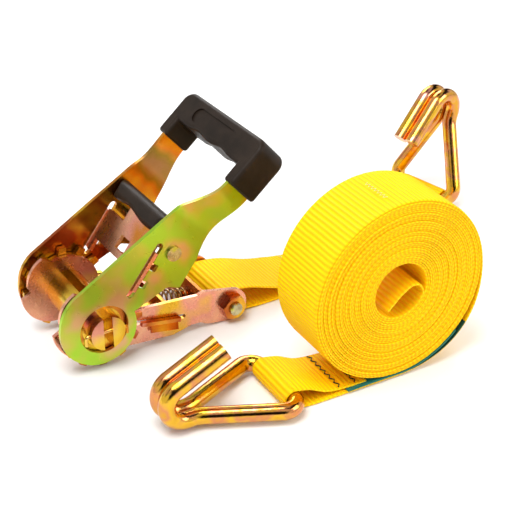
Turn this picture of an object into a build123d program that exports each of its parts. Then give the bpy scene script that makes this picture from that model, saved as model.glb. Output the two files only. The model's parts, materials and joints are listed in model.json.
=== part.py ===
from build123d import *
import math
import os

# Ratchet tie down: a lever ratchet, a short strap with a hook, and a rolled long strap with a hook.
# Millimetres, +Z up. X runs from the ratchet's hub towards its anchor bolt, and -Y is the near side.
# The origin is on the ground under the middle of the whole object's box.

# ---- driving dimensions ----
WEB_WIDTH = 50.0          # webbing width, a standard 2 inch strap
WEB_THICK = 2.0           # webbing thickness
GAP = 0.35                # clearance between pieces that move past each other
FIT = 0.05                # radial clearance of a running fit
GROUND = 0.3              # height of the lowest pieces above the ground

# ---- ratchet stack, distances from the middle plane ----
PLATE = 3.0               # thickness of the frame plates and handle plates
FRAME_IN = 26.5           # inner face of each frame plate
FRAME_OUT = FRAME_IN + PLATE
WHEEL_IN = FRAME_OUT + 0.5
WHEEL_OUT = WHEEL_IN + 4.0
HANDLE_IN = WHEEL_OUT + 1.0
HANDLE_OUT = HANDLE_IN + PLATE
GRIP_SPREAD = 10.0        # how far the handle plates step outwards at the grip
SPOOL_END = HANDLE_OUT + 6.5

# ---- ratchet geometry ----
TOOTH_TIP = 31.5          # radius of the wheel over its teeth
TOOTH_ROOT = 25.5         # radius of the wheel between its teeth
TEETH = 12
PITCH = 360 / TEETH
SPOOL_R = 15.0            # radius over the two spool halves
SPOOL_SLOT = 7.0          # gap between the halves, for the webbing
HUB_Z = TOOTH_TIP + 1.0   # height of the hub above the ground
BOLT_X = 108.5            # hub to anchor bolt
BOLT_END_R = 13.0         # round end of the frame about the bolt
BOLT_Z = BOLT_END_R + GROUND
BOLT_R = 5.0
NUT_R = 10.0              # nut, over its corners
NUT_HIGH = 6.5
SLEEVE_R = 8.0            # spacer tube that the short strap loops round
FRAME_TILT = math.degrees(math.asin((HUB_Z - BOLT_Z) / BOLT_X))
HANDLE_ANGLE = 41.0       # handle above the horizontal, as stored
HANDLE_HOLE_R = 18.5
SLOT_ANGLE = 11.4         # handle slots, measured from the handle's centre line
SLOT_OFFSET = -3.7        # distance of the slot line from the hub's centre
CROSS_PIN = (71.2, -2.9)  # cross pin in the handle's own frame
GRIP_END = 171.0          # hub to the end of the grip
ARM_LOW = -14.5           # lower and upper edges of the handle plates' arms, inside the grip
ARM_HIGH = 8.5
GRIP_MID = (ARM_LOW + ARM_HIGH) / 2
GRIP_HALF_THICK = 13.5
GRIP_BAR = 24.0           # depth of the grip's cross bar
GRIP_LEG = 38.0           # length of the grip's legs, from the grip's end
SPOOL_END_R = 13.0        # the spool halves are a little slimmer outside the wheels

# ---- pawls ----
PAWL_THICK = 3.0
PAWL_REST = TOOTH_TIP + 0.8     # hub to pawl edge, as stored, just clear of the tooth tips
PAWL_IN = 5.0                   # travel from stored to fully engaged
PAWL_BACK = 5.0                 # travel from stored to pulled back
PULL_OUT = 90.0                 # outer edge of the finger pull, along the handle slots
LOCK_Z = -4.0                   # height of the lock pawl's middle in the frame's own frame
LOCK_END = 64.0                 # outer end of the lock pawl's ears
LOCK_SPRING_X = 59.0            # where the lock pawl's spring starts
WHEEL_PHASE = 27.6              # turns the wheels so a tooth gap faces each pawl as stored
SPOOL_ANGLE = 90.0              # the webbing slot stands upright as stored

# ---- straps and hooks ----
SHORT_LEN = 247.0         # anchor bolt to hook bar
SHORT_YAW = 12.0          # direction of the short strap's hook from +X towards +Y
FLAP_LEN = 84.0           # sewn flap of the short strap at the bolt
ROLL_R = 70.0             # outer radius of the rolled strap
ROLL_CORE = 19.0          # radius of the open core
ROLL_POS = (168.0, -129.0)
ROLL_YAW = -2.0           # the roll's own X axis, turned about Z
TAIL_LEN = 81.0           # roll centre to the long strap's hook bar
WIRE_R = 6.0              # hook wire radius
LOOP_R = WIRE_R + GAP     # inside of a webbing loop round a hook bar
BAR_Z = LOOP_R + WEB_THICK + GROUND
HOOK_LEN = 73.0           # hook bar to the start of the bend
HOOK_HALF = 36.0          # half the bar's length, between wire centres
HOOK_CORNER = 9.5         # corner radius of the hook's wire
HOOK_NECK = 8.0           # straight between the bend and the splaying legs
HOOK_NECK_R = 20.0        # radius where the legs start to splay
LOOP_WIDTH = 43.0         # the webbing gathers a little in the hook's loop
BEND_R = 14.0             # bend of the hook, to the wire's centre
TIP_OPEN = 26.0           # the prongs rise away from the legs by this angle
TIP_LEN = 40.0            # straight from the bend to the tip
HOOK_TILT = 70.0          # how far the short strap's hook stands up, as stored

parts = {}


def prism(outline, y0, y1):
    """A plate with an outline in X and Z, from y0 to y1."""
    with BuildPart() as made:
        with BuildSketch(Plane.XZ.offset(-y1)):
            add(outline)
        extrude(amount=y1 - y0)
    return made.part


def rod(radius, y0, y1, x=0.0, z=0.0):
    """A cylinder along Y."""
    return Pos(x, (y0 + y1) / 2, z) * Rot(90, 0, 0) * Cylinder(radius, y1 - y0)


def block(x0, x1, y0, y1, z0, z1):
    """A box between two corners."""
    return Pos((x0 + x1) / 2, (y0 + y1) / 2, (z0 + z1) / 2) * Box(x1 - x0, y1 - y0, z1 - z0)


def on_circle(radius, degrees, cx=0.0, cz=0.0):
    """A point on a circle about a centre."""
    a = math.radians(degrees)
    return (cx + radius * math.cos(a), cz + radius * math.sin(a))


def mirror_y(solid):
    """The same piece on the other side of the middle plane."""
    return mirror(solid, about=Plane.XZ)


def frame_place(solid):
    """From the frame's own axes to the ground: the hub is up and the frame tips down to the bolt."""
    return Pos(0, 0, HUB_Z) * Rot(0, FRAME_TILT, 0) * solid


def handle_place(solid):
    """From the handle's own axes to the ground."""
    return Pos(0, 0, HUB_Z) * Rot(0, -HANDLE_ANGLE, 0) * solid


def slot_place(solid):
    """From the drive pawl's slide axes, along the handle slots, to the ground."""
    return handle_place(Rot(0, -SLOT_ANGLE, 0) * Pos(0, 0, SLOT_OFFSET) * solid)


# ---- frame ----
def frame_plate():
    """One side plate of the frame, on the -Y side."""
    hub_r = 26.0
    with BuildSketch() as sketch:
        Circle(hub_r)
        # rear lobe with its stop notch and spike, which cam the pawl out as the handle opens flat
        with BuildLine():
            lobe = on_circle(33.3, 130)
            notch = on_circle(30.5, 174)
            spike = on_circle(34.5, 190)
            under = on_circle(hub_r, 262)
            ThreePointArc(lobe, on_circle(33.0, 152), notch)
            Line(notch, on_circle(27.5, 181))
            Line(on_circle(27.5, 181), spike)
            ThreePointArc(spike, on_circle(31.5, 225), under)
            Line(under, (0, 0))
            Line((0, 0), on_circle(hub_r - 1, 118))
            Line(on_circle(hub_r - 1, 118), lobe)
        make_face()
        # arm from the hub to the anchor bolt
        with BuildLine():
            Polyline((0, 0), on_circle(hub_r, 14), (78, 11.5), (83, 14), (BOLT_X, BOLT_END_R),
                     (BOLT_X, -BOLT_END_R), (90, -13.5), (84, -11.5), (76, -12.5), (62, -18.5),
                     (24, -22), (4, -hub_r + 0.5), (0, 0))
        make_face()
        with Locations((BOLT_X, 0)):
            Circle(BOLT_END_R)
        Circle(SPOOL_R + FIT, mode=Mode.SUBTRACT)
        with Locations((BOLT_X, 0)):
            Circle(BOLT_R + FIT, mode=Mode.SUBTRACT)
        slot_in = PAWL_REST - PAWL_IN - 1.2
        slot_out = LOCK_END + PAWL_BACK + 1.0
        with Locations(((slot_in + slot_out) / 2, LOCK_Z)):
            SlotOverall(slot_out - slot_in, PAWL_THICK + 2 * GAP, mode=Mode.SUBTRACT)
    return prism(sketch.sketch, -FRAME_OUT, -FRAME_IN)


def frame_tie_plate():
    """Cross plate that ties the frame plates and seats the lock pawl's spring."""
    seat = block(86.0, 89.0, -FRAME_IN, FRAME_IN, -10.5, 9.0)
    spigot = Pos(83.0, 0, LOCK_Z) * Rot(0, 90, 0) * Cylinder(3.4, 6.0)
    return seat + spigot


def anchor_bolt():
    """Bolt through the frame plates, head on the far side."""
    shank = rod(BOLT_R, -FRAME_OUT - NUT_HIGH - 2.5, FRAME_OUT, BOLT_X)
    shank = chamfer(shank.faces().sort_by(Axis.Y)[0].edges(), 0.8)
    head = prism(Pos(BOLT_X, 0) * RegularPolygon(9.4, 6), FRAME_OUT, FRAME_OUT + 3.5)
    return shank + head


def anchor_nut():
    """Lock nut on the near side, with its corners turned off."""
    hexagon = prism(Pos(BOLT_X, 0) * RegularPolygon(NUT_R, 6), -FRAME_OUT - NUT_HIGH, -FRAME_OUT)
    base_first = (Align.CENTER, Align.CENTER, Align.MIN)
    dome = Cone(NUT_R + NUT_HIGH, NUT_R - 1.2, NUT_HIGH, align=base_first)
    dome = Pos(BOLT_X, -FRAME_OUT, 0) * Rot(90, 0, 0) * dome
    return (hexagon & dome) - rod(BOLT_R, -60, 0, BOLT_X)


def anchor_sleeve():
    """Spacer tube on the bolt, between the frame plates."""
    return rod(SLEEVE_R, -FRAME_IN, FRAME_IN, BOLT_X) - rod(BOLT_R, -60, 60, BOLT_X)


def coil(radius, wire, length, turns):
    """A compression spring along +Z from the origin."""
    path = Helix(pitch=(length - 2 * wire) / turns, height=length - 2 * wire, radius=radius)
    start = Plane(origin=path @ 0, z_dir=path % 0)
    return Pos(0, 0, wire) * sweep(start * Circle(wire), path=path)


def lock_spring():
    """Spring between the lock pawl and the tie plate."""
    x0 = LOCK_SPRING_X
    length = 86.0 - x0 - 0.2
    return Pos(x0 + 0.1, 0, LOCK_Z) * Rot(0, 90, 0) * coil(5.6, 0.8, length, 6)


def lock_pawl_ear():
    """The pawl's end on the -Y side, folded down and outwards past the frame plate."""
    top = LOCK_Z + PAWL_THICK / 2
    fold = [(-FRAME_OUT - GAP, top), (-WHEEL_OUT, LOCK_Z - 7.5), (-WHEEL_OUT + 2.4, LOCK_Z - 9.0),
            (-FRAME_OUT - GAP, LOCK_Z - 5.0)]
    with BuildPart() as made:
        with BuildSketch(Plane.YZ.offset(PAWL_REST + 9.0)):
            with BuildLine():
                Polyline(*fold, close=True)
            make_face()
        extrude(amount=LOCK_END - PAWL_REST - 10.0)
    return made.part


def lock_pawl():
    """Plate that slides in the frame slots and holds the wheels."""
    z0 = LOCK_Z - PAWL_THICK / 2
    z1 = LOCK_Z + PAWL_THICK / 2
    web = block(PAWL_REST + 8.0, 56.0, -FRAME_IN + GAP, FRAME_IN - GAP, z0, z1)
    bar = block(PAWL_REST + 8.0, LOCK_END, -WHEEL_OUT, WHEEL_OUT, z0, z1)
    middle_cut = block(56.0, LOCK_END + 1, -FRAME_IN + 6, FRAME_IN - 6, z0 - 1, z1 + 1)
    flange = block(56.0, LOCK_SPRING_X, -FRAME_IN + 6, FRAME_IN - 6, LOCK_Z - 7.5, LOCK_Z + 7.5)
    made = web + (bar - middle_cut) + flange
    for side in (-1, 1):
        y0, y1 = sorted((side * WHEEL_IN, side * WHEEL_OUT))
        made += block(PAWL_REST, LOCK_END, y0, y1, z0, z1)
    ear = lock_pawl_ear()
    return made + ear + mirror_y(ear)


# ---- spool ----
def spool_half(side):
    """Half of the slotted spool, above or below the webbing slot."""
    bar = rod(SPOOL_R, -WHEEL_OUT, WHEEL_OUT) + rod(SPOOL_END_R, -SPOOL_END, SPOOL_END)
    bar -= Pos(0, 0, -side * 50) * Box(100, 200, 100 + SPOOL_SLOT)
    for end in (-1, 1):
        y = end * (HANDLE_OUT + 3.0)
        bar -= Pos(0, y, 0) * Cylinder(1.5, 60)
    return spool_turned(bar)


def spool_turned(solid):
    """The spool as stored, with its webbing slot nearly upright."""
    return Pos(0, 0, HUB_Z) * Rot(0, SPOOL_ANGLE, 0) * solid


def ratchet_wheel():
    """Toothed wheel on the -Y side, outside the frame plate."""
    with BuildSketch() as sketch:
        Circle(TOOTH_ROOT)
        for i in range(TEETH):
            # each tooth has a steep holding face and a sloped back
            base = i * PITCH + WHEEL_PHASE
            tooth = [on_circle(TOOTH_ROOT - 1, base - 6.5), on_circle(TOOTH_TIP, base - 4.5),
                     on_circle(TOOTH_TIP, base + 5.5), on_circle(TOOTH_ROOT - 1, base + 9.5)]
            with BuildLine():
                Polyline(*tooth, close=True)
            make_face()
        # the spool halves pass through two half-moon holes
        Circle(SPOOL_R + FIT, mode=Mode.SUBTRACT)
        with Locations(Rot(0, 0, 90)):
            Rectangle(2 * SPOOL_R + 2, SPOOL_SLOT - 2 * FIT)
    return Pos(0, 0, HUB_Z) * prism(sketch.sketch, -WHEEL_OUT, -WHEEL_IN)


def split_pin():
    """Split pin through both spool halves outside the near handle plate, with its bent legs."""
    y = -(HANDLE_OUT + 3.0)
    leg_top = SPOOL_END_R + 2.6
    corners = ((leg_top, y, -6.0), (leg_top, y, 0), (-leg_top, y, 0), (-leg_top, y, -7.0))
    path = FilletPolyline(*corners, radius=2.2)
    wire = sweep(Plane(origin=path @ 0, z_dir=path % 0) * Circle(1.3), path=path)
    return Pos(0, 0, HUB_Z) * wire


# ---- handle ----
def handle_plate():
    """One side plate of the handle, on the -Y side, curving outwards to the grip."""
    with BuildSketch() as outline:
        with BuildLine():
            ThreePointArc((22.5, -10.0), on_circle(26.5, -95), on_circle(28.7, -163))
            ThreePointArc(on_circle(28.7, -163), on_circle(31.5, 155), on_circle(33.9, 121))
            ThreePointArc(on_circle(33.9, 121), on_circle(36.0, 100), (4.8, 36.4))
            Polyline((4.8, 36.4), (50, 28.2), (96, 19.5))
            Spline((96, 19.5), (108, 14.5), (120, 10.0), (134, ARM_HIGH),
                   tangents=[(46, -8.7), (1, 0)])
            Polyline((134, ARM_HIGH), (GRIP_END - 8.0, ARM_HIGH), (GRIP_END - 8.0, ARM_LOW), (118, ARM_LOW))
            Spline((118, ARM_LOW), (100, -15.5), (88, -18.5), (79, -22.5), tangents=[(-1, 0), (-9, -4.5)])
            Polyline((79, -22.5), (55, -27.7), (50, -19.0), (22.5, -10.0))
        make_face()
        Circle(HANDLE_HOLE_R, mode=Mode.SUBTRACT)
        with Locations(Location((0, 0, 0), (0, 0, SLOT_ANGLE))):
            start, end = 27.0, 72.0
            with Locations(((start + end) / 2, SLOT_OFFSET)):
                SlotOverall(end - start, PAWL_THICK + 2.6, mode=Mode.SUBTRACT)
            # square windows beside the slot
            for t in (40.0, 54.0):
                with Locations((t, SLOT_OFFSET - 5.0)):
                    Rectangle(5.5, 6.0, mode=Mode.SUBTRACT)
        with Locations(CROSS_PIN):
            Circle(4.0, mode=Mode.SUBTRACT)
    return prism(outline.sketch, -HANDLE_OUT - GRIP_SPREAD, -HANDLE_IN) & handle_sheet()


def handle_sheet():
    """Sheet of the plate's thickness, flat at the hub and stepped outwards in a smooth curve."""
    step_start = 94.0
    step_end = 134.0
    edges = []
    for y in (-HANDLE_IN, -HANDLE_OUT):
        outer = y - GRIP_SPREAD
        middle = ((step_start + step_end) / 2, (y + outer) / 2)
        edges.append(((-60, y), (step_start, y), middle, (step_end, outer), (GRIP_END, outer)))
    with BuildPart() as made:
        with BuildSketch(Plane.XY.offset(-60)):
            with BuildLine():
                for first, start, middle, end, last in edges:
                    Line(first, start)
                    Spline(start, middle, end, tangents=[(1, 0), (1, 0)])
                    Line(end, last)
                Line(edges[0][0], edges[1][0])
                Line(edges[0][4], edges[1][4])
            make_face()
        extrude(amount=120)
    return made.part


def handle_cross_bar():
    """Flat bar that joins the handle plates inside the grip."""
    side = HANDLE_IN + GRIP_SPREAD
    return block(GRIP_END - 18.0, GRIP_END - 8.0, -side, side, GRIP_MID - 3.0, GRIP_MID + 3.0)


def handle_grip():
    """Moulded grip: a cross bar with a finger wave and a leg down each handle plate."""
    half = HANDLE_OUT + GRIP_SPREAD + 6.0
    inner = HANDLE_IN + GRIP_SPREAD - 3.0
    leg_end = GRIP_END - GRIP_LEG
    bar_in = GRIP_END - GRIP_BAR
    wave_end = inner - 10.0
    with BuildPart() as made:
        with BuildSketch(Plane.XY.offset(GRIP_MID - GRIP_HALF_THICK)) as outline:
            with BuildLine():
                Polyline((bar_in, wave_end), (bar_in, inner), (leg_end, inner), (leg_end, half),
                         (GRIP_END, half), (GRIP_END, -half), (leg_end, -half), (leg_end, -inner),
                         (bar_in, -inner), (bar_in, -wave_end))
                Spline((bar_in, -wave_end), (bar_in + 2.0, -wave_end / 2), (bar_in, 0),
                       (bar_in + 2.0, wave_end / 2), (bar_in, wave_end), tangents=[(0, 1), (0, 1)])
            make_face()
            ends = [v for v in outline.vertices() if v.X > GRIP_END - 1]
            inner_corners = [v for v in outline.vertices() if abs(v.X - bar_in) < 1 and abs(v.Y) > inner - 1]
            fillet(ends, 9.0)
            fillet(inner_corners, 5.0)
            fillet([v for v in outline.vertices() if v.X < leg_end + 1], 2.0)
        extrude(amount=2 * GRIP_HALF_THICK)
        fillet(made.edges().filter_by(Plane.XY), 3.2)
    solid = made.part
    # plain recessed panel on the upper face
    panel_z = GRIP_MID + GRIP_HALF_THICK - 1.2
    panel = Pos(GRIP_END - 12.5, 4.0, panel_z) * Rot(0, 0, 90) * SlotOverall(54.0, 12.0)
    solid -= extrude(panel, amount=5.0)
    # sockets for the handle plates and the cross bar
    for side in (-1, 1):
        y0, y1 = sorted((side * (HANDLE_IN + GRIP_SPREAD), side * (HANDLE_OUT + GRIP_SPREAD)))
        solid -= block(100.0, GRIP_END - 8.0, y0, y1, ARM_LOW, ARM_HIGH)
    return solid - handle_cross_bar()


def handle_cross_pin():
    """Pin across the handle with a round head on each side; the drive spring bears on it."""
    u, v = CROSS_PIN
    pin = rod(4.0, -HANDLE_OUT, HANDLE_OUT, u, v)
    for side in (-1, 1):
        y0, y1 = sorted((side * HANDLE_OUT, side * (HANDLE_OUT + 2.0)))
        pin += rod(5.6, y0, y1, u, v)
    return pin


def drive_pawl_plate():
    """Plate that slides along the handle slots and drives the wheels."""
    half = HANDLE_IN - GAP - 0.3
    z = PAWL_THICK / 2
    body_in = PAWL_REST + 10.0
    body_out = PULL_OUT - 5.0
    made = block(body_in, body_out, -half, half, -z, z)
    # square window for the spring's hook, and the open corner beside the pull
    made -= block(47.5, 58.0, -8.0, 5.0, -5, 5)
    made -= block(66.0, body_out - 6.0, 12.0, half + 1, -5, 5)
    for side in (-1, 1):
        # prong that meets the wheel
        y0, y1 = sorted((side * WHEEL_IN, side * WHEEL_OUT))
        made += block(PAWL_REST, body_in + 1, y0, y1, -z, z)
        # ear through the handle slot
        y0, y1 = sorted((side * (half - 1), side * (HANDLE_OUT + 1.2)))
        made += block(PAWL_REST + 0.5, PAWL_REST + 32.0, y0, y1, -z, z)
    # tab folded down for the spring
    made += block(body_in, body_in + 3.0, -9.0, 9.0, -20.0, 0.0)
    return made


def drive_spring():
    """Spring between the drive pawl's tab and the cross pin."""
    start = PAWL_REST + 13.0
    turn = math.radians(SLOT_ANGLE)
    pin_t = CROSS_PIN[0] * math.cos(turn) + CROSS_PIN[1] * math.sin(turn)
    pin_n = CROSS_PIN[1] * math.cos(turn) - CROSS_PIN[0] * math.sin(turn)
    length = pin_t - 4.0 - start - 0.4
    return Pos(start + 0.2, 0, pin_n - SLOT_OFFSET) * Rot(0, 90, 0) * coil(4.6, 0.7, length, 5)


def finger_pull():
    """Moulded pull over the outer end of the drive pawl, wavy on the finger side."""
    half = HANDLE_IN - GAP - 0.3
    low, high = -6.5, 7.5
    back, front = PULL_OUT, PULL_OUT - 15.0
    with BuildPart() as made:
        with BuildSketch(Plane.XY.offset(low)):
            with BuildLine():
                Polyline((front, half), (back, half), (back, -half), (front, -half))
                Spline((front, -half), (front - 1.0, -10.0), (front + 2.0, 12.0), (front, half),
                       tangents=[(0, 1), (0, 1)])
            make_face()
        extrude(amount=high - low)
        fillet(made.edges().filter_by(Plane.XY), 6.2)
    socket = block(60.0, PULL_OUT - 5.0, -half, half, -PAWL_THICK / 2, PAWL_THICK / 2)
    return made.part - socket


# ---- hooks ----
def hook():
    """Double J hook: a bar at the origin along Y, two legs that close in, and two bent prongs."""
    close = WIRE_R + 0.15
    open_angle = math.radians(90 + TIP_OPEN)
    half_way = math.radians(180 + TIP_OPEN / 2)
    made = None
    for side in (-1, 1):
        y = side * close
        corner = (0, side * HOOK_HALF, 0)
        neck = (-HOOK_LEN + HOOK_NECK, y, 0)
        end = (-HOOK_LEN, y, 0)
        flat = FilletPolyline((0, 0, 0), corner, neck, end, radius=(HOOK_CORNER, HOOK_NECK_R))
        middle = (-HOOK_LEN + BEND_R * math.cos(half_way), y, BEND_R + BEND_R * math.sin(half_way))
        top = (-HOOK_LEN + BEND_R * math.cos(open_angle), y, BEND_R + BEND_R * math.sin(open_angle))
        bend = ThreePointArc(end, middle, top)
        rise = math.radians(TIP_OPEN)
        tip = Line(top, (top[0] + TIP_LEN * math.cos(rise), y, top[2] + TIP_LEN * math.sin(rise)))
        route = Wire(flat.edges() + bend.edges() + tip.edges())
        section = Plane(origin=(0, 0, 0), z_dir=(0, side, 0)) * Circle(WIRE_R)
        leg = sweep(section, path=route)
        made = leg if made is None else made + leg
    return made


def short_place(solid):
    """From the short strap's own axes, bolt at the origin, to the ground."""
    return Pos(BOLT_X * math.cos(math.radians(FRAME_TILT)), 0, 0) * Rot(0, 0, SHORT_YAW) * solid


def long_place(solid):
    """From the long strap's own axes, under the roll's centre, to the ground."""
    return Pos(ROLL_POS[0], ROLL_POS[1], 0) * Rot(0, 0, ROLL_YAW) * solid


def short_hook():
    """The short strap's hook, standing up behind the roll."""
    turned = Rot(0, 0, 180) * hook()
    return short_place(Pos(SHORT_LEN, 0, BAR_Z) * Rot(0, -HOOK_TILT, 0) * turned)


def long_hook():
    """The long strap's hook, flat on the ground with its prongs over the legs."""
    return long_place(Pos(-TAIL_LEN, 0, BAR_Z) * hook())


# ---- webbing ----
def strap_loop(x, z, inner_r, width):
    """Loop of webbing round a bar along Y at x and z."""
    ring = rod(inner_r + WEB_THICK, -width / 2, width / 2, x, z)
    return ring - rod(inner_r, -width, width, x, z)


def strap_layer(start, end, width=WEB_WIDTH):
    """A flat layer of webbing between two points of its underside."""
    (x0, z0), (x1, z1) = start, end
    with BuildSketch() as sketch:
        with BuildLine():
            Polyline((x0, z0), (x1, z1), (x1, z1 + WEB_THICK), (x0, z0 + WEB_THICK), close=True)
        make_face()
    return prism(sketch.sketch, -width / 2, width / 2)


def flat_band(spine, width, low):
    """A flat layer of webbing on the ground along a line of (x, y) points, mitred where it turns."""
    left = []
    right = []
    for i, (x, y) in enumerate(spine):
        x0, y0 = spine[max(i - 1, 0)]
        x1, y1 = spine[min(i + 1, len(spine) - 1)]
        length = math.hypot(x1 - x0, y1 - y0)
        across = (-(y1 - y0) / length * width / 2, (x1 - x0) / length * width / 2)
        left.append((x + across[0], y + across[1]))
        right.append((x - across[0], y - across[1]))
    with BuildPart() as made:
        with BuildSketch(Plane.XY.offset(low)):
            with BuildLine():
                Polyline(*left, *reversed(right), close=True)
            make_face()
        extrude(amount=WEB_THICK)
    return made.part


def short_strap():
    """Short strap: a loop round the bolt's spacer, a run turning to its hook, a loop round the hook bar."""
    low = GROUND
    inner = SLEEVE_R + GAP
    bolt_loop = strap_loop(0, BOLT_Z, inner, WEB_WIDTH)
    lower = strap_layer((0, BOLT_Z - inner - WEB_THICK), (24.0, low))
    upper = strap_layer((0, BOLT_Z + inner), (FLAP_LEN, low + WEB_THICK - 0.5))
    near_end = bolt_loop + lower + upper - rod(inner, -60, 60, 0, BOLT_Z)
    yaw = math.radians(SHORT_YAW)
    neck_x = SHORT_LEN - 30.0
    turned_x = SHORT_LEN - 50.0
    spine = [(23.0, 0.0), (FLAP_LEN, 0.0), (turned_x * math.cos(yaw), turned_x * math.sin(yaw)),
             (neck_x * math.cos(yaw), neck_x * math.sin(yaw))]
    run = flat_band(spine, WEB_WIDTH, low)
    neck = block(neck_x - 1.0, SHORT_LEN, -LOOP_WIDTH / 2, LOOP_WIDTH / 2, low, low + WEB_THICK)
    hook_loop = strap_loop(SHORT_LEN, BAR_Z, LOOP_R, LOOP_WIDTH)
    back = strap_layer((SHORT_LEN, BAR_Z + LOOP_R), (SHORT_LEN - 50.0, low + WEB_THICK - 0.5), LOOP_WIDTH)
    far_end = neck + hook_loop + back - rod(LOOP_R, -60, 60, SHORT_LEN, BAR_Z)
    return short_place(far_end) + short_place(Rot(0, 0, -SHORT_YAW) * (near_end + run))


def strap_roll():
    """The rolled length of the long strap, upright on its rim."""
    centre = ROLL_R + GROUND
    roll = rod(ROLL_R, -WEB_WIDTH / 2, WEB_WIDTH / 2, 0, centre)
    return long_place(roll - rod(ROLL_CORE, -60, 60, 0, centre))


def strap_tail():
    """The outermost turn leaves the roll along the ground and loops round the hook bar."""
    centre = ROLL_R + GROUND
    low = GROUND
    run = block(-TAIL_LEN + 22.0, 0, -WEB_WIDTH / 2, WEB_WIDTH / 2, low, low + WEB_THICK)
    neck = block(-TAIL_LEN, -TAIL_LEN + 22.0, -LOOP_WIDTH / 2, LOOP_WIDTH / 2, low, low + WEB_THICK)
    loop = strap_loop(-TAIL_LEN, BAR_Z, LOOP_R, LOOP_WIDTH)
    upper = strap_layer((-TAIL_LEN, BAR_Z + LOOP_R), (-TAIL_LEN + 46.0, low + WEB_THICK - 0.5), LOOP_WIDTH)
    made = run + neck + loop + upper - rod(LOOP_R, -60, 60, -TAIL_LEN, BAR_Z)
    return long_place(made - rod(ROLL_R, -60, 60, 0, centre))


# ---- build, centre and write ----
def build_all():
    """Every piece by name, in the assembly's ground frame with the hub above the origin."""
    plate = frame_plate()
    parts["frame_plate_near"] = frame_place(plate)
    parts["frame_plate_far"] = frame_place(mirror_y(plate))
    parts["frame_tie_plate"] = frame_place(frame_tie_plate())
    parts["anchor_bolt"] = frame_place(anchor_bolt())
    parts["anchor_nut"] = frame_place(anchor_nut())
    parts["anchor_sleeve"] = frame_place(anchor_sleeve())
    parts["lock_spring"] = frame_place(lock_spring())
    parts["lock_pawl"] = frame_place(lock_pawl())
    parts["spool_half_front"] = spool_half(1)
    parts["spool_half_rear"] = spool_half(-1)
    wheel = ratchet_wheel()
    parts["ratchet_wheel_near"] = wheel
    parts["ratchet_wheel_far"] = mirror_y(wheel)
    pin = split_pin()
    parts["split_pin_near"] = pin
    parts["split_pin_far"] = mirror_y(pin)
    side = handle_plate()
    parts["handle_plate_near"] = handle_place(side)
    parts["handle_plate_far"] = handle_place(mirror_y(side))
    parts["handle_cross_bar"] = handle_place(handle_cross_bar())
    parts["handle_grip"] = handle_place(handle_grip())
    parts["handle_cross_pin"] = handle_place(handle_cross_pin())
    parts["drive_pawl_plate"] = slot_place(drive_pawl_plate())
    parts["drive_spring"] = slot_place(drive_spring())
    parts["finger_pull"] = slot_place(finger_pull())
    parts["short_strap"] = short_strap()
    parts["short_strap_hook"] = short_hook()
    parts["strap_roll"] = strap_roll()
    parts["strap_tail"] = strap_tail()
    parts["long_strap_hook"] = long_hook()


build_all()
boxes = [solid.bounding_box() for solid in parts.values()]
LOW = [min(b.min.X for b in boxes), min(b.min.Y for b in boxes), min(b.min.Z for b in boxes)]
HIGH = [max(b.max.X for b in boxes), max(b.max.Y for b in boxes), max(b.max.Z for b in boxes)]
SHIFT = (-(LOW[0] + HIGH[0]) / 2, -(LOW[1] + HIGH[1]) / 2, -LOW[2])
os.makedirs("parts", exist_ok=True)
for name, solid in parts.items():
    export_step(Pos(*SHIFT) * solid, f"parts/{name}.step")
print("shift", [round(v, 3) for v in SHIFT], "size", [round(h - l, 1) for h, l in zip(HIGH, LOW)])
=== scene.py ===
import json
import math
import bpy
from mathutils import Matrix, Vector


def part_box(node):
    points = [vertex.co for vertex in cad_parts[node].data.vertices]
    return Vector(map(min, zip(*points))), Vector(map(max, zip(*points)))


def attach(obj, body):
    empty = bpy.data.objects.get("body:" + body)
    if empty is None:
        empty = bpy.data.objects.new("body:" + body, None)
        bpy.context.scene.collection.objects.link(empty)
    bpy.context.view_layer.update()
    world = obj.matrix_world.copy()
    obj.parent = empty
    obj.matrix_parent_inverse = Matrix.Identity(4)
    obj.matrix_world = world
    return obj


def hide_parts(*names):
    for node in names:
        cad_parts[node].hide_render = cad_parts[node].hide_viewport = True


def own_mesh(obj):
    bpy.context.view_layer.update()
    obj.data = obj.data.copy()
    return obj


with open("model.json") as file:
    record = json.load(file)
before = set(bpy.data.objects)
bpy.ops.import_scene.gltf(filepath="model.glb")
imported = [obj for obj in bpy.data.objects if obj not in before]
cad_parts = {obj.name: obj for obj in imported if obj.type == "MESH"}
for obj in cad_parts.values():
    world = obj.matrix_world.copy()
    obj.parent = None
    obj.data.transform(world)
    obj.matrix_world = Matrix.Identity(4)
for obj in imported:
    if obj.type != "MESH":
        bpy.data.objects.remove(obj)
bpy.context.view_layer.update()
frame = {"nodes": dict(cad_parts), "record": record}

MM = 0.001
RECORD = frame["record"]

# ---- driving values, in metres unless the name or comment says otherwise ----
# webbing
WEB_WIDTH = 0.050
WEB_THICK = 1.45 * MM
RIB = 3.4 * MM                  # spacing of the webbing's cross ribs
RIB_HEIGHT = 0.32 * MM
FACE_OFFSET = WEB_THICK / 2 + RIB_HEIGHT    # from the webbing's middle to the top of its ribs
YARN = 1.1 * MM                 # spacing of the lengthwise yarns
LOOP_WIDTH = 0.045              # the webbing gathers a little where it loops round a hook
GATHER_RUN = 0.03               # length over which it gathers
LONG_GATHER = 0.10              # the gathering starts this far before the long strap's end
SHORT_GATHER = 0.12
FINE_STEP = 0.75 * MM           # stations along webbing that is seen flat
COARSE_STEP = 2.6 * MM          # stations along the inner turns
GROUND_GAP = 0.3 * MM           # height of the lowest pieces above the ground
LOOP_STEPS = 14                 # points of the arc round a hook's bar
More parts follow.
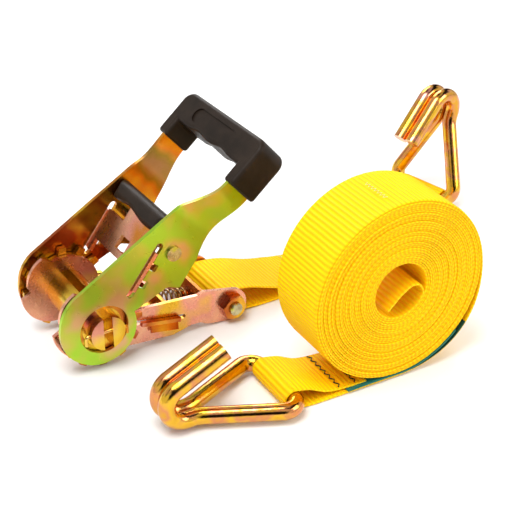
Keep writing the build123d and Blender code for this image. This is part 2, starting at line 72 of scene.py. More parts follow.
# half of the webbing's section: place across from -1 to 1, and share of the thickness
HALF_SECTION = ((-1.0, 0.6), (-0.985, 0.88), (-0.94, 1.0), (-0.8, 1.0), (-0.4, 1.0), (0.0, 1.0),
                (0.4, 1.0), (0.8, 1.0), (0.94, 1.0), (0.985, 0.88), (1.0, 0.6))
SECTION = [(1, *column) for column in HALF_SECTION] + [(-1, *column) for column in reversed(HALF_SECTION)]

# roll of the long strap
TURN_PITCH = 1.5 * MM           # from one turn of the roll to the next
CORE_R = 20.5 * MM              # first turn of the roll
START_ANGLE = -20.0             # where the first turn starts, in degrees from the strap's own x axis
STEPS_PER_TURN = 72
CORE_STEPS = 60                 # this much of the first turn shows its ribs, inside the open core
RIBBED_CORE = 0.13              # length of webbing that shows its ribs in the core
RIBBED_END = 0.62               # length that shows them on the last turn, the run and the hook's loop
LABEL_GAP = 1.1 * MM            # room for the sewn label under the last part of the last turn
LABEL_ROOM_TURNS = 0.36         # that room opens this many turns before the spiral's end
LABEL_ROOM_EASE = 0.2           # and is fully open this many turns later
SLACK = 3.2 * MM                # how far the last turn hangs off the roll before it leaves
SLACK_TURNS = 0.27              # over this many turns before the spiral's end
OVAL = 0.35 * MM                # the roll is a little oval
OVAL_PHASE = 0.6                # radians
LOBES = 0.15 * MM               # and a little three-cornered
DRIFT = ((0.35 * MM, 9.1, 0.0), (0.3 * MM, 3.7, 1.0))       # sideways waves: height, radians per metre, phase
RIPPLE = ((0.08 * MM, 1848.0, 0.0), (0.08 * MM, 611.0, 0.0))
SWAY_END = 0.35                 # the waves have died away this far before the strap's end
SWAY_EASE = 0.2                 # length over which they do

# label, seams and tack
LABEL_PROUD = 1.0 * MM          # how far the label stands past the webbing's near edge
LABEL_THICK = 0.55 * MM
LABEL_DEPTH = 6 * MM            # how far it reaches in between the turns
LABEL_STEPS = 30
LABEL_START = 0.13              # it starts this many turns before the end of the last turn but one
LABEL_SPAN = 0.115              # and follows that turn for this many turns
HEM_THICK = 0.35 * MM           # the label's other half, under the last turn
HEM_INWARD = 0.2 * MM           # its middle, from the tops of the webbing's ribs
HEM_DEPTH = 3 * MM
HEM_START = 0.15                # in turns, as for the label, but before the end of the last turn
HEM_SPAN = 0.12
STRIP_STEP = 2.0 * MM           # stations along the label
THREAD_SIDES = 6
THREAD_SIDEWAYS = Vector((0.13, 0.2, 1))    # any direction that no thread follows
TAIL_SEAMS = (("tail_seam_a", 37 * MM), ("tail_seam_b", 50 * MM))   # distance from the hook's bar
TAIL_SEAM_REACH = 0.195         # both seams lie on this much of the long strap's end
SHORT_SEAM_X = 79 * MM          # the short strap's seam, from the bolt
SHORT_SEAM_REACH = 0.150
SEAM_WINDOW = 1.0 * MM          # a seam lies as high as the webbing gets within this distance
TACK_TURN = 7.0                 # the tack's place, in degrees round from the roll's top
TACK_WAVE = 1.2                 # degrees
TACK_START = -13 * MM
TACK_LENGTH = 24 * MM
TACK_STITCHES = 14

# short strap and springs
SLEEVE_GAP = 0.35 * MM          # between the bolt's spacer and the webbing round it
STRAIGHT_RUN = 60 * MM          # the strap leaves the bolt square this far, then bends towards its hook
BEND_PULL = 60 * MM             # how far each end of the bend keeps its direction

# camera and stage
CAMERA_FROM_HUB = Vector((-0.3039, -0.7379, 0.4990))
CAMERA_AZIMUTH = 31.4           # degrees to the right of +Y
CAMERA_DOWN = 30.2              # degrees below the horizon
FOCAL_PIXELS = 1300.0
IMAGE_SIDE = 512.0
SENSOR_MM = 36.0
CLIP_END = 20.0                 # how far the camera sees
FLOOR_HALF = 6.0
FRONT_CARD = Vector((-0.45, -0.74, 0.36))   # direction of a dark card that the hooks mirror


# ---- places read from the frame ----
def joint_row(name):
    """A joint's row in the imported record."""
    return next(joint for joint in RECORD["behaviour"]["joints"] if joint["name"] == name)


def joint_place(name):
    """Where a joint's axis is."""
    return Vector(joint_row(name)["pos_m"])


def joint_axis(name):
    """The direction of a joint's axis."""
    return Vector(joint_row(name)["axis"])


HUB = joint_place("spool_turn")
LONG_BAR = joint_place("long_hook_swing")
SHORT_BAR = joint_place("short_hook_swing")
ROLL_LOW, ROLL_HIGH = (Vector(corner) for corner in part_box("strap_roll"))
ROLL_MID = (ROLL_LOW + ROLL_HIGH) / 2
ROLL_RADIUS = (ROLL_HIGH.z - ROLL_LOW.z) / 2
SLEEVE_LOW, SLEEVE_HIGH = (Vector(corner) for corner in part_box("anchor_sleeve"))
BOLT = (SLEEVE_LOW + SLEEVE_HIGH) / 2
SLEEVE_R = (SLEEVE_HIGH.z - SLEEVE_LOW.z) / 2


# ---- shader nodes ----
def new_material(name):
    """A node material, its tree and its Principled shader."""
    material = bpy.data.materials.new(name)
    material.use_nodes = True
    tree = material.node_tree
    return material, tree, tree.nodes["Principled BSDF"]


def noise_node(tree, scale, detail, rough, source=None):
    """Noise over object coordinates, or over another vector."""
    node = tree.nodes.new("ShaderNodeTexNoise")
    node.inputs["Scale"].default_value = scale
    node.inputs["Detail"].default_value = detail
    node.inputs["Roughness"].default_value = rough
    if source is None:
        coords = tree.nodes.new("ShaderNodeTexCoord")
        source = coords.outputs["Object"]
    tree.links.new(source, node.inputs["Vector"])
    return node.outputs["Fac"]


def ramp_node(tree, factor, stops):
    """A colour ramp; stops are (position, colour)."""
    node = tree.nodes.new("ShaderNodeValToRGB")
    ramp = node.color_ramp
    while len(ramp.elements) < len(stops):
        ramp.elements.new(0.5)
    for element, (position, colour) in zip(ramp.elements, stops):
        element.position = position
        element.color = (*colour, 1.0)
    tree.links.new(factor, node.inputs["Fac"])
    return node.outputs["Color"]


def range_node(tree, value, low, high, from_low=0.0, from_high=1.0):
    """Maps from_low..from_high to low..high."""
    node = tree.nodes.new("ShaderNodeMapRange")
    node.inputs["From Min"].default_value = from_low
    node.inputs["From Max"].default_value = from_high
    node.inputs["To Min"].default_value = low
    node.inputs["To Max"].default_value = high
    tree.links.new(value, node.inputs["Value"])
    return node.outputs["Result"]


def wave_node(tree, source, direction, spacing, distortion):
    """Bands a given spacing apart: a wave texture of scale 1 repeats every pi / 10 of the source's units."""
    node = tree.nodes.new("ShaderNodeTexWave")
    node.bands_direction = direction
    node.inputs["Scale"].default_value = math.pi / (10 * spacing)
    node.inputs["Distortion"].default_value = distortion
    node.inputs["Detail"].default_value = 1.0
    tree.links.new(source, node.inputs["Vector"])
    return node.outputs["Fac"]


def vector_node(tree, operation, source, constant):
    """Vector arithmetic between a vector and a constant."""
    node = tree.nodes.new("ShaderNodeVectorMath")
    node.operation = operation
    tree.links.new(source, node.inputs[0])
    node.inputs[1].default_value = constant
    return node


def darken_node(tree, base, shade, factor=None):
    """One colour multiplied by another, fully or as far as a factor says."""
    node = tree.nodes.new("ShaderNodeMix")
    node.data_type = "RGBA"
    node.blend_type = "MULTIPLY"
    if factor is None:
        node.inputs["Factor"].default_value = 1.0
    else:
        tree.links.new(factor, node.inputs["Factor"])
    tree.links.new(base, node.inputs["A"])
    tree.links.new(shade, node.inputs["B"])
    return node.outputs["Result"]


def mix_sum(tree, weighted):
    """The weighted sum of several values."""
    total = None
    for value, weight in weighted:
        node = tree.nodes.new("ShaderNodeMath")
        node.operation = "MULTIPLY_ADD"
        tree.links.new(value, node.inputs[0])
        node.inputs[1].default_value = weight
        node.inputs[2].default_value = 0.0
        if total is not None:
            tree.links.new(total, node.inputs[2])
        total = node.outputs["Value"]
    return total


def from_hub(tree, near, far):
    """0 at a distance near from the hub's axis, 1 at a distance far."""
    coords = tree.nodes.new("ShaderNodeTexCoord")
    flat = vector_node(tree, "MULTIPLY", coords.outputs["Object"], (1.0, 0.0, 1.0))
    away = vector_node(tree, "DISTANCE", flat.outputs["Vector"], (HUB.x, 0.0, HUB.z))
    return range_node(tree, away.outputs["Value"], 0.0, 1.0, near, far)


def add_bump(tree, shader, height, strength, distance):
    """Bump from a height into the shader's normal."""
    node = tree.nodes.new("ShaderNodeBump")
    node.inputs["Strength"].default_value = strength
    node.inputs["Distance"].default_value = distance
    tree.links.new(height, node.inputs["Height"])
    tree.links.new(node.outputs["Normal"], shader.inputs["Normal"])


# ---- materials ----
CAST_FIRST = 0.32               # the zinc's casts share this part of the noise: its start and its width
CAST_SPAN = 0.36
# on the far handle plate this dependence on the distance from the hub is painted shade
OUTWARD_SHARE = 0.18            # how much a plate's cast depends on the distance from the hub


def zinc_material(name, colours, patch_scale, rough, outward=None, dents=0.10):
    """Yellow passivated zinc: its colour drifts between casts, with fine scuffs in the gloss.

    With outward, two distances from the hub's axis, the casts also move on from one distance to the other; on
    the far handle plate this is painted shade, darker out along its arm.
    """
    material, tree, shader = new_material(name)
    factor = noise_node(tree, scale=patch_scale, detail=2.5, rough=0.5)
    first = CAST_FIRST
    if outward is not None:
        factor = mix_sum(tree, [(factor, 1.0), (from_hub(tree, *outward), OUTWARD_SHARE)])
        # most of a plate is well away from the hub, so the casts start higher by most of the share
        first += OUTWARD_SHARE * 2 / 3
    stops = [(first + CAST_SPAN * i / (len(colours) - 1), colour) for i, colour in enumerate(colours)]
    tree.links.new(ramp_node(tree, factor, stops), shader.inputs["Base Color"])
    scuffs = noise_node(tree, scale=260.0, detail=6.0, rough=0.65)
    tree.links.new(range_node(tree, scuffs, *rough), shader.inputs["Roughness"])
    add_bump(tree, shader, scuffs, strength=dents, distance=0.4 * MM)
    shader.inputs["Metallic"].default_value = 1.0
    return material


def plastic_material(name):
    """Moulded black grip: near black with a warm sheen and a fine grain."""
    material, tree, shader = new_material(name)
    grain = noise_node(tree, scale=1400.0, detail=3.0, rough=0.6)
    wear = noise_node(tree, scale=45.0, detail=4.0, rough=0.6)
    colour = ramp_node(tree, wear, [(0.35, (0.013, 0.008, 0.005)), (0.70, (0.027, 0.017, 0.011))])
    tree.links.new(colour, shader.inputs["Base Color"])
    tree.links.new(range_node(tree, wear, 0.34, 0.52), shader.inputs["Roughness"])
    add_bump(tree, shader, grain, strength=0.25, distance=0.3 * MM)
    shader.inputs["Specular IOR Level"].default_value = 0.13
    return material


def webbing_material(name):
    """Woven polyester: cross ribs and lengthwise yarns, with painted shade that turns the colour orange down
    between them, and a random tone from the fuzz.
    """
    material, tree, shader = new_material(name)
    attribute = tree.nodes.new("ShaderNodeAttribute")
    attribute.attribute_name = "weave"
    weave = attribute.outputs["Vector"]     # millimetres along and across the strap
    ribs = wave_node(tree, weave, "X", RIB / MM, 0.5)
    yarns = wave_node(tree, weave, "Y", YARN / MM, 0.8)
    fuzz = noise_node(tree, scale=1.4, detail=4.0, rough=0.6, source=weave)
    height = mix_sum(tree, [(ribs, 0.5), (yarns, 0.2), (fuzz, 0.5)])
    # painted shade: low in the grooves between ribs and yarns the colour turns orange; the fuzz part of the
    # height adds a random tone
    stops = [(0.15, (1.0, 0.38, 0.0)), (0.50, (1.0, 0.58, 0.0)), (0.95, (1.0, 0.72, 0.0))]
    tree.links.new(ramp_node(tree, height, stops), shader.inputs["Base Color"])
    shader.inputs["Roughness"].default_value = 0.6
    shader.inputs["Specular IOR Level"].default_value = 0.15
    add_bump(tree, shader, height, strength=0.5, distance=0.6 * MM)
    return material


def thread_material(name, colour):
    """Sewing thread, twisted."""
    material, tree, shader = new_material(name)
    twist = noise_node(tree, scale=1800.0, detail=2.0, rough=0.5)
    dark = tuple(0.6 * c for c in colour)
    tree.links.new(ramp_node(tree, twist, [(0.3, dark), (0.7, colour)]), shader.inputs["Base Color"])
    shader.inputs["Roughness"].default_value = 0.6
    add_bump(tree, shader, twist, strength=0.4, distance=0.3 * MM)
    return material


PINK = (0.74, 0.31, 0.22)
SALMON = (0.78, 0.40, 0.24)
LIME = (0.37, 0.60, 0.045)
OLIVE = (0.50, 0.52, 0.07)
TAN = (0.66, 0.40, 0.18)
GOLD = (0.74, 0.43, 0.035)
PALE_GOLD = (0.80, 0.55, 0.06)
WARM_GOLD = (0.66, 0.34, 0.03)
AMBER = (0.62, 0.22, 0.03)
COPPER = (0.62, 0.24, 0.10)
RUST = (0.40, 0.09, 0.02)
# darkened copies of the zinc colours: painted shade for the far handle plate
PAINTED_SHADE_OLIVE = (0.30, 0.17, 0.02)
PAINTED_SHADE_AMBER = (0.36, 0.16, 0.05)
STEEL = (0.34, 0.28, 0.16)
PALE_STEEL = (0.52, 0.48, 0.28)
DARK_WIRE = (0.25, 0.15, 0.06)
PALE_WIRE = (0.60, 0.40, 0.20)
TEAL = (0.004, 0.20, 0.17)
DARK_TEAL = (0.003, 0.09, 0.06)
PALE_THREAD = (1.0, 0.92, 0.35)
DARK_THREAD = (0.02, 0.02, 0.012)

MAT_FRAME = zinc_material("zinc_frame", [AMBER, PINK, SALMON, PINK, GOLD],
                          patch_scale=22.0, rough=(0.20, 0.36))
MAT_HANDLE = zinc_material("zinc_handle", [TAN, TAN, OLIVE, LIME, LIME, OLIVE, TAN],
                           patch_scale=20.0, rough=(0.22, 0.38), outward=(0.015, 0.050))
# the far handle plate: painted shade, its zinc colours darkened, most of all out along its arm away from the
# hub
MAT_FAR_PAINTED_SHADE = zinc_material("zinc_far_painted_shade", [RUST, GOLD, AMBER, PAINTED_SHADE_OLIVE, PAINTED_SHADE_AMBER],
                        patch_scale=26.0, rough=(0.16, 0.32), outward=(0.050, 0.100))
MAT_INSIDE = zinc_material("zinc_amber", [RUST, GOLD, AMBER, RUST, PINK],
                           patch_scale=26.0, rough=(0.16, 0.32))
MAT_STEEL = zinc_material("zinc_pale", [STEEL, PALE_STEEL, OLIVE],
                          patch_scale=120.0, rough=(0.20, 0.34))
MAT_GOLD = zinc_material("zinc_gold", [AMBER, GOLD, PALE_GOLD, PINK],
                         patch_scale=30.0, rough=(0.16, 0.30))
MAT_HOOK = zinc_material("zinc_hook", [WARM_GOLD, GOLD, COPPER, WARM_GOLD, PINK],
                         patch_scale=46.0, rough=(0.09, 0.20), dents=0.30)
MAT_SPRING = zinc_material("spring_wire", [DARK_WIRE, PALE_WIRE],
                           patch_scale=90.0, rough=(0.18, 0.30))
MAT_PLASTIC = plastic_material("black_grip")
MAT_WEB = webbing_material("webbing")
MAT_LABEL = thread_material("label_teal", TEAL)
MAT_LABEL_EDGE = thread_material("label_edge", DARK_TEAL)
MAT_THREAD = thread_material("thread_pale", PALE_THREAD)
MAT_BLACK_THREAD = thread_material("thread_dark", DARK_THREAD)

BY_SLOT = {"zinc_frame": MAT_FRAME, "zinc_handle": MAT_HANDLE, "zinc_gold": MAT_GOLD, "zinc_hook": MAT_HOOK,
           "spring_wire": MAT_SPRING, "black_grip": MAT_PLASTIC, "webbing": MAT_WEB}
# nodes with a cast of their own: the inner ones and the nut are more orange, the bolt and the pin paler; the
# far handle plate is darkened with painted shade
BY_NODE = {"handle_plate_far": MAT_FAR_PAINTED_SHADE, "lock_pawl": MAT_INSIDE, "frame_tie_plate": MAT_INSIDE,
           "ratchet_wheel_near": MAT_INSIDE, "anchor_nut": MAT_INSIDE, "anchor_bolt": MAT_STEEL,
           "handle_cross_pin": MAT_STEEL}
for subpart in RECORD["subparts"]:
    node_mesh = frame["nodes"][subpart["node"]].data
    node_mesh.materials.clear()
    node_mesh.materials.append(BY_NODE.get(subpart["node"], BY_SLOT[subpart["material_slot"]]))


# ---- camera, light and floor ----
def new_object(name, data):
    """An object in the scene."""
    made = bpy.data.objects.new(name, data)
    bpy.context.scene.collection.objects.link(made)
    return made


def set_camera():
    """The camera stands at the front left and looks down at the object."""
    data = bpy.data.cameras.new("camera")
    data.sensor_width = SENSOR_MM
    data.lens = FOCAL_PIXELS / IMAGE_SIDE * data.sensor_width
    data.clip_end = CLIP_END
    camera = new_object("camera", data)
    camera.location = HUB + CAMERA_FROM_HUB
    camera.rotation_euler = (math.radians(90 - CAMERA_DOWN), 0, math.radians(-CAMERA_AZIMUTH))
    bpy.context.scene.camera = camera


def add_light(name, place, size, power):
    """A soft square light aimed at the origin."""
    data = bpy.data.lights.new(name, "AREA")
    data.size = size
    data.energy = power
    lamp = new_object(name, data)
    lamp.location = place
    lamp.rotation_euler = (-Vector(place)).to_track_quat("-Z", "Y").to_euler()


def add_floor():
    """A pale floor."""
    mesh = bpy.data.meshes.new("floor")
    corners = [(-FLOOR_HALF, -FLOOR_HALF, 0), (FLOOR_HALF, -FLOOR_HALF, 0),
               (FLOOR_HALF, FLOOR_HALF, 0), (-FLOOR_HALF, FLOOR_HALF, 0)]
    mesh.from_pydata(corners, [], [(0, 1, 2, 3)])
    material, _, shader = new_material("floor_white")
    shader.inputs["Base Color"].default_value = (0.95, 0.95, 0.95, 1)
    shader.inputs["Roughness"].default_value = 0.9
    mesh.materials.append(material)
    new_object("floor", mesh)


WHITE = (1.0, 1.0, 1.0)
BLACK = (0.0, 0.0, 0.0)
CARD_BLACK = (0.012, 0.010, 0.010)
CEILING_GREY = (0.6, 0.6, 0.6)
TOP_GREY = (0.55, 0.55, 0.55)


def set_world():
    """A bright studio: pale walls, a greyer ceiling, and dark cards that the metal mirrors."""
    world = bpy.data.worlds.new("studio")
    world.use_nodes = True
    tree = world.node_tree
    coords = tree.nodes.new("ShaderNodeTexCoord")
    direction = coords.outputs["Generated"]
    split = tree.nodes.new("ShaderNodeSeparateXYZ")
    tree.links.new(direction, split.inputs["Vector"])
    height = split.outputs["Z"]
    walls = ramp_node(tree, height, [(0.0, WHITE), (0.35, WHITE), (0.60, CEILING_GREY), (0.72, WHITE),
                                     (1.0, TOP_GREY)])
    patches = noise_node(tree, scale=2.1, detail=1.0, rough=0.4, source=direction)
    cards = ramp_node(tree, patches, [(0.445, CARD_BLACK), (0.475, WHITE)])
    # the cards stand above the horizon only
    above = ramp_node(tree, height, [(0.04, BLACK), (0.10, WHITE)])
    studio = darken_node(tree, walls, cards, factor=above)
    # the front card is round: these are cosines of the angle from its middle to its soft edge
    towards_card = vector_node(tree, "DOT_PRODUCT", direction, FRONT_CARD.normalized())
    front = ramp_node(tree, towards_card.outputs["Value"], [(0.930, WHITE), (0.945, CARD_BLACK)])
    background = tree.nodes["Background"]
    tree.links.new(darken_node(tree, studio, front), background.inputs["Color"])
    background.inputs["Strength"].default_value = 1.0
    bpy.context.scene.world = world


set_camera()
add_floor()
add_light("key", place=(-0.5, -0.2, 1.3), size=0.8, power=15.0)
add_light("fill", place=(0.9, -1.0, 0.8), size=0.8, power=8.0)
add_light("rim", place=(0.4, 1.1, 0.9), size=0.7, power=8.0)
set_world()
bpy.context.scene.view_settings.view_transform = "Standard"


# ---- springs ----
def spring_piece(name, node, body):
    """A copy of a spring's part as a piece of its own, fixed to its body; the part itself is hidden."""
    piece = new_object(name, frame["nodes"][node].data.copy())
    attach(piece, body)
    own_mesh(piece)
    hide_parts(node)


spring_piece("drive_spring_coil", "drive_spring", "handle")
spring_piece("lock_spring_coil", "lock_spring", "base")


# ---- lines ----
def clamp(t):
    """t kept between 0 and 1."""
    return max(0.0, min(1.0, t))


def ease(t):
    """A smooth step from 0 to 1."""
    t = clamp(t)
    return t * t * (3 - 2 * t)


def smooth_line(points, step):
    """Points evenly spaced along a smooth curve through control points (x, z)."""
    finer = 3           # points of the curve for each step, before they are spaced evenly
    spaced = []
    count = len(points)
    for i in range(count - 1):
        p0 = Vector(points[max(i - 1, 0)])
        p1 = Vector(points[i])
        p2 = Vector(points[i + 1])
        p3 = Vector(points[min(i + 2, count - 1)])
        pieces = max(2, int((p2 - p1).length / step * finer))
        for k in range(pieces):
            t = k / pieces
            spaced.append(0.5 * (2 * p1 + (p2 - p0) * t + (2 * p0 - 5 * p1 + 4 * p2 - p3) * t * t
                                 + (3 * p1 - p0 - 3 * p2 + p3) * t * t * t))
    spaced.append(Vector(points[-1]))
    return respace(spaced, step)


def respace(points, step):
    """The same line with points an even step apart."""
    shortest_last = 0.3     # share of a step under which the last one is left out
    result = [points[0].copy()]
    carried = 0.0
    for a, b in zip(points, points[1:]):
        length = (b - a).length
        while length > 0 and carried + length >= step:
            t = (step - carried) / length
            a = a + (b - a) * t
            result.append(a.copy())
            length = (b - a).length
            carried = 0.0
        carried += length
    if (result[-1] - points[-1]).length > step * shortest_last:
        result.append(points[-1].copy())
    return result


def line_length(points):
    """The length of a line."""
    return sum((b - a).length for a, b in zip(points, points[1:]))


def direction_at(points, i):
    """The direction of a line at its point i."""
    return (points[min(i + 1, len(points) - 1)] - points[max(i - 1, 0)]).normalized()


def arc(cx, cz, radius, start, end, count):
    """Points of an arc, angles in degrees from +X towards +Z."""
    result = []
    for i in range(count + 1):
        a = math.radians(start + (end - start) * i / count)
        result.append((cx + radius * math.cos(a), cz + radius * math.sin(a)))
    return result


def line_height(points, x):
    """Height of the topmost point of a webbing line at x."""
    return max(p.y for p in points if abs(p.x - x) < SEAM_WINDOW)


def zigzag(points, to_world, x, half_width, wave, stitches):
    """Points of a zigzag seam across the top of a strap at x."""
    result = []
    for i in range(stitches + 1):
        here = x + (wave if i % 2 else -wave)
        y = half_width * (2 * i / stitches - 1)
        result.append(to_world(here, y, line_height(points, here) + FACE_OFFSET))
    return result


# ---- webbing, strips and threads ----
def ring_faces(rings, sides):
    """The faces between rings of points that follow each other."""
    faces = []
    for a in range(0, sides * (rings - 1), sides):
        b = a + sides
        for k in range(sides):
            n = (k + 1) % sides
            faces.append((a + k, a + n, b + n, b + k))
    return faces


def end_faces(rings, sides):
    """The faces that close the first and the last ring."""
    last = sides * (rings - 1)
    return [tuple(range(sides)), tuple(reversed(range(last, last + sides)))]


def mesh_piece(name, verts, faces, material, smooth):
    """An object made of these points and faces."""
    mesh = bpy.data.meshes.new(name)
    mesh.from_pydata([tuple(v) for v in verts], [], faces)
    mesh.polygons.foreach_set("use_smooth", [smooth] * len(mesh.polygons))
    mesh.materials.append(material)
    return new_object(name, mesh)


def strap_piece(name, line, to_world, width_at, rib_at=lambda s: 1.0, sway=lambda s: 0.0):
    """Webbing of real thickness along a line of (x, z) points, and its length.

    to_world(x, y, z) carries it to the row frame. At a length s along the line, width_at(s) is the full
    width, rib_at(s) how much the ribs stand out, and sway(s) the shift to the side.
    """
    verts = []
    weave = []
    along = 0.0
    for i, point in enumerate(line):
        if i:
            along += (point - line[i - 1]).length
        ahead = direction_at(line, i)
        normal = Vector((-ahead.y, ahead.x))
        half = width_at(along) / 2
        rib = RIB_HEIGHT * rib_at(along) * math.cos(2 * math.pi * along / RIB)
        shift = sway(along)
        for up, across, share in SECTION:
            # the ribs stop short of the rounded edges
            lift = up * (WEB_THICK / 2 * share + rib * (share == 1.0))
            x = point.x + normal.x * lift
            z = point.y + normal.y * lift
            verts.append(to_world(x, across * half + shift, z))
            weave.append((along / MM, across * half / MM, 0.0))
    faces = ring_faces(len(line), len(SECTION)) + end_faces(len(line), len(SECTION))
    piece = mesh_piece(name, verts, faces, MAT_WEB, smooth=True)
    layer = piece.data.attributes.new("weave", "FLOAT_VECTOR", "POINT")
    layer.data.foreach_set("vector", [value for v in weave for value in v])
    return piece, along


def strip_piece(name, line, to_world, y_low, y_high, thick, material, body):
    """A plain thin strip along a line, such as a sewn label."""
    points = respace([Vector(p) for p in line], STRIP_STEP)
    verts = []
    for i, point in enumerate(points):
        ahead = direction_at(points, i)
        normal = Vector((-ahead.y, ahead.x)) * thick / 2
        corners = ((y_low, 1), (y_high, 1), (y_high, -1), (y_low, -1))
        for y, side in corners:
            verts.append(to_world(point.x + side * normal.x, y, point.y + side * normal.y))
    faces = ring_faces(len(points), len(corners)) + end_faces(len(points), len(corners))
    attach(mesh_piece(name, verts, faces, material, smooth=False), body)


def thread_piece(name, points, radius, material, body):
    """A sewing thread through points of the row frame."""
    verts = []
    for i, point in enumerate(points):
        ahead = direction_at(points, i)
        across = ahead.cross(THREAD_SIDEWAYS).normalized()
        up = ahead.cross(across)
        for k in range(THREAD_SIDES):
            a = 2 * math.pi * k / THREAD_SIDES
            verts.append(point + across * radius * math.cos(a) + up * radius * math.sin(a))
    faces = ring_faces(len(points), THREAD_SIDES)
    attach(mesh_piece(name, verts, faces, material, smooth=True), body)


def gathered(s, start):
    """Full width of the webbing at a length s, gathered from a length start on, for a hook's loop."""
    return WEB_WIDTH - (WEB_WIDTH - LOOP_WIDTH) * ease((s - start) / GATHER_RUN)


GROUND_LINE = GROUND_GAP + FACE_OFFSET
BAR_LINE_R = LONG_BAR.z - GROUND_LINE      # webbing's middle, from the hook bar's centre


def on_ground(*places):
    """Points of a line that lies on the ground."""
    return [(x, GROUND_LINE) for x in places]


def hook_loop(bar_x, bar_z, side, landing):
    """The loop from the ground round a hook's bar, and its sewn end, which lands on the strap.

    The strap lies on the bar's +X side where side is 1, and on its -X side where side is -1. The points of
    landing are distances from the bar and heights over the ground line.
    """
    round_bar = arc(bar_x, bar_z, BAR_LINE_R, 90 + 180 * side, 90, LOOP_STEPS)
    sewn = [(12 * MM, bar_z + 4.2 * MM), (26 * MM, GROUND_LINE + 4.6 * MM)]
    sewn += [(x, GROUND_LINE + z) for x, z in landing]
    return round_bar + [(bar_x + side * x, z) for x, z in sewn]


# ---- long strap: its own x runs along the ground away from the hook, from under the roll's centre ----
LONG_AXIS = joint_axis("long_hook_swing").normalized()
LONG_X = Vector((LONG_AXIS.y, -LONG_AXIS.x, 0))
if LONG_X.x < 0:
    LONG_X = -LONG_X
LONG_Y = Vector((-LONG_X.y, LONG_X.x, 0))
LONG_BAR_X = (LONG_BAR - Vector((ROLL_MID.x, ROLL_MID.y, 0))).dot(LONG_X)
OUTER_LINE_R = ROLL_RADIUS - FACE_OFFSET
ROLL_CENTRE_Z = ROLL_RADIUS + GROUND_GAP
# the spiral ends at the roll's lowest point, a whole number of turns and the rest of one after its start
SPIRAL_DEPTH = OUTER_LINE_R - LABEL_GAP - CORE_R
WHOLE_TURNS = math.floor(SPIRAL_DEPTH / TURN_PITCH) + (90.0 + START_ANGLE) / 360.0
PITCH = SPIRAL_DEPTH / WHOLE_TURNS


def long_world(x, y, z):
    """From the long strap's frame to the row frame."""
    return Vector((ROLL_MID.x, ROLL_MID.y, 0)) + LONG_X * x + LONG_Y * y + Vector((0, 0, z))


def turn_point(theta, inward=0.0):
    """The spiral's point after theta turns, or a point a little inside it."""
    angle = math.radians(START_ANGLE - 360.0 * theta)
    left = WHOLE_TURNS - theta
    opened = ease((LABEL_ROOM_TURNS - left) / LABEL_ROOM_EASE)
    bulge = math.sin(math.pi * clamp((SLACK_TURNS - left) / SLACK_TURNS)) ** 2
    squeeze = OVAL * math.sin(2 * angle + OVAL_PHASE) + LOBES * math.sin(3 * angle)
    settled = math.sin(math.pi * min(1.0, theta / WHOLE_TURNS))
    radius = CORE_R + PITCH * theta + LABEL_GAP * opened + SLACK * bulge + squeeze * settled - inward
    return (radius * math.cos(angle), ROLL_CENTRE_Z + radius * math.sin(angle))


def roll_line():
    """The long strap's middle line: the folded inner end, the turns, the run to the hook and its loop."""
    # the folded end stands across the open core, in millimetres from the roll's centre
    fold = [(-9.5, -13.5), (-4.0, -7.6), (3.0, -1.8), (9.5, 1.6), (14.8, 1.0), (18.2, -2.6)]
    inner = [(x * MM, ROLL_CENTRE_Z + z * MM) for x, z in fold]
    steps = int(WHOLE_TURNS * STEPS_PER_TURN)
    turns = [turn_point(i / steps * WHOLE_TURNS) for i in range(steps + 1)]
    run = on_ground(-14 * MM, -34 * MM, LONG_BAR_X + 20 * MM)
    loop = hook_loop(LONG_BAR_X, LONG_BAR.z, 1, [(42 * MM, 2.4 * MM), (58 * MM, 2.1 * MM)])
    core = smooth_line(inner + turns[:CORE_STEPS + 1], FINE_STEP)
    coil = smooth_line(turns[CORE_STEPS:-STEPS_PER_TURN], COARSE_STEP)
    flat = smooth_line(turns[-STEPS_PER_TURN - 1:] + run + loop, FINE_STEP)
    return core[:-1] + coil[:-1] + flat


long_line = roll_line()
LONG_TOTAL = line_length(long_line)


def long_width(s):
    """Full width, gathered a little at the hook's loop."""
    return gathered(s, LONG_TOTAL - LONG_GATHER)


def long_ribs(s):
    """The ribs stand out in the core, on the last turn and on the run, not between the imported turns."""
    return 1.0 if s > LONG_TOTAL - RIBBED_END or s < RIBBED_CORE else 0.0


def long_sway(s):
    """The turns don't stack quite evenly."""
    waves = sum(height * math.sin(s * rate + phase) for height, rate, phase in DRIFT + RIPPLE)
    return clamp((LONG_TOTAL - SWAY_END - s) / SWAY_EASE) * waves


long_strap, long_length = strap_piece("long_strap_webbing", long_line, long_world,
                                      long_width, long_ribs, long_sway)
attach(long_strap, "long_strap")
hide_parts("strap_roll", "strap_tail")
print("long strap", round(long_length, 3))


# ---- label, seams and tack of the long strap ----
def label_line():
    """The label's line on the turn before the last, then along the top of the tail."""
    above = FACE_OFFSET + LABEL_THICK / 2
    over_tail = GROUND_LINE + above
    line = []
    for i in range(LABEL_STEPS + 1):
        left = LABEL_START - LABEL_SPAN * i / LABEL_STEPS
        line.append(turn_point(WHOLE_TURNS - 1 - left, -above))
    line.append((-22 * MM, over_tail + 0.5 * MM))
    line.append((-40 * MM, over_tail))
    return line


def hem_line():
    """The line of the label's other half, just under the last turn."""
    line = []
    for i in range(LABEL_STEPS + 1):
        left = HEM_START - HEM_SPAN * i / LABEL_STEPS
        line.append(turn_point(WHOLE_TURNS - left, FACE_OFFSET + HEM_INWARD))
    return line


def tack_points():
    """A zigzag of stitches round the roll's outer turn, near its top."""
    radius = OUTER_LINE_R - LABEL_GAP + FACE_OFFSET
    points = []
    for i in range(TACK_STITCHES + 1):
        angle = math.radians(90 + TACK_TURN + (TACK_WAVE if i % 2 else -TACK_WAVE))
        y = TACK_START + TACK_LENGTH * i / TACK_STITCHES
        points.append(long_world(radius * math.cos(angle), y, ROLL_CENTRE_Z + radius * math.sin(angle)))
    return points


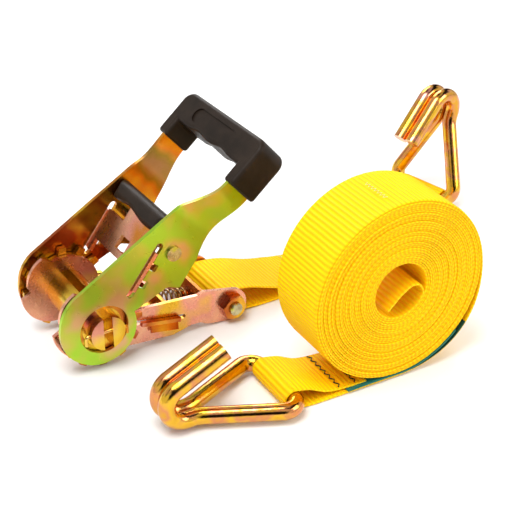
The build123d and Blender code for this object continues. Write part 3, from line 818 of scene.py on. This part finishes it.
# the sewn label lies in the slack of the last turn, shows at the near side and runs out over the tail
NEAR_EDGE = -WEB_WIDTH / 2
strip_piece("label_inner", label_line(), long_world, NEAR_EDGE - LABEL_PROUD, NEAR_EDGE + LABEL_DEPTH,
            LABEL_THICK, MAT_LABEL, "long_strap")
strip_piece("label_outer", hem_line(), long_world, NEAR_EDGE - LABEL_PROUD, NEAR_EDGE + HEM_DEPTH,
            HEM_THICK, MAT_LABEL_EDGE, "long_strap")
long_end = long_line[-round(TAIL_SEAM_REACH / FINE_STEP):]
for seam_name, from_bar in TAIL_SEAMS:
    seam = zigzag(long_end, long_world, LONG_BAR_X + from_bar,
                  half_width=21 * MM, wave=1.2 * MM, stitches=14)
    thread_piece(seam_name, seam, 0.45 * MM, MAT_BLACK_THREAD, "long_strap")
thread_piece("roll_tack", tack_points(), 0.22 * MM, MAT_THREAD, "long_strap")


# ---- short strap: its own x runs from the bolt towards its hook ----
SHORT_AXIS = joint_axis("short_hook_swing").normalized()
SHORT_X = Vector((-SHORT_AXIS.y, SHORT_AXIS.x, 0)).normalized()
if SHORT_X.x < 0:
    SHORT_X = -SHORT_X
SHORT_BAR_X = (SHORT_BAR - BOLT).dot(SHORT_X)
SHORT_REACH = SHORT_BAR - Vector((BOLT.x, BOLT.y, SHORT_BAR.z))


def bend_point(t):
    """A point of the bend's middle line on the ground, and its direction."""
    start = Vector((STRAIGHT_RUN, 0, 0))
    leave = start + Vector((BEND_PULL, 0, 0))
    arrive = SHORT_REACH - SHORT_X * BEND_PULL
    u = 1 - t
    place = start * u ** 3 + leave * 3 * u * u * t + arrive * 3 * u * t * t + SHORT_REACH * t ** 3
    ahead = (leave - start) * u * u + (arrive - leave) * 2 * u * t + (SHORT_REACH - arrive) * t * t
    return place, ahead.normalized()


def short_world(x, y, z):
    """From the short strap's frame to the row frame: square to the bolt, a smooth bend, then past the bar."""
    base = Vector((BOLT.x, BOLT.y, z))
    if x <= STRAIGHT_RUN:
        return base + Vector((x, y, 0))
    t = (x - STRAIGHT_RUN) / (SHORT_BAR_X - STRAIGHT_RUN)
    if t <= 1:
        place, ahead = bend_point(t)
    else:
        place, ahead = SHORT_REACH + SHORT_X * (x - SHORT_BAR_X), SHORT_X
    return base + place + Vector((-ahead.y, ahead.x, 0)) * y


def short_strap_line():
    """The short strap's middle line: sewn flap, loop round the bolt's spacer, run, loop round its hook."""
    wrap = SLEEVE_R + SLEEVE_GAP + FACE_OFFSET
    flap = [(84 * MM, GROUND_LINE + 2.3 * MM), (66 * MM, GROUND_LINE + 5.5 * MM),
            (44 * MM, GROUND_LINE + 10 * MM), (20 * MM, BOLT.z + wrap - 3.0 * MM)]
    # from the top, round the side away from the hook, to the underside
    round_bolt = arc(0, BOLT.z, wrap, 82, 262, 16)
    settle = [(12 * MM, GROUND_LINE + 1.4 * MM)]
    run = on_ground(30 * MM, 60 * MM, 110 * MM, 160 * MM, SHORT_BAR_X - 40 * MM, SHORT_BAR_X - 16 * MM)
    loop = hook_loop(SHORT_BAR_X, SHORT_BAR.z, -1, [(44 * MM, 2.3 * MM), (66 * MM, 2.1 * MM)])
    return smooth_line(flap + round_bolt + settle + run + loop, FINE_STEP)


short_line = short_strap_line()
SHORT_TOTAL = line_length(short_line)


def short_width(s):
    """Full width, gathered a little at the hook's loop."""
    return gathered(s, SHORT_TOTAL - SHORT_GATHER)


short_strap, short_length = strap_piece("short_strap_webbing", short_line, short_world, short_width)
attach(short_strap, "base")
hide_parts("short_strap")
print("short strap", round(short_length, 3))
short_start = short_line[:round(SHORT_SEAM_REACH / FINE_STEP)]
short_seam = zigzag(short_start, short_world, SHORT_SEAM_X, half_width=23 * MM, wave=1.3 * MM, stitches=18)
thread_piece("short_seam", short_seam, 0.4 * MM, MAT_THREAD, "base")
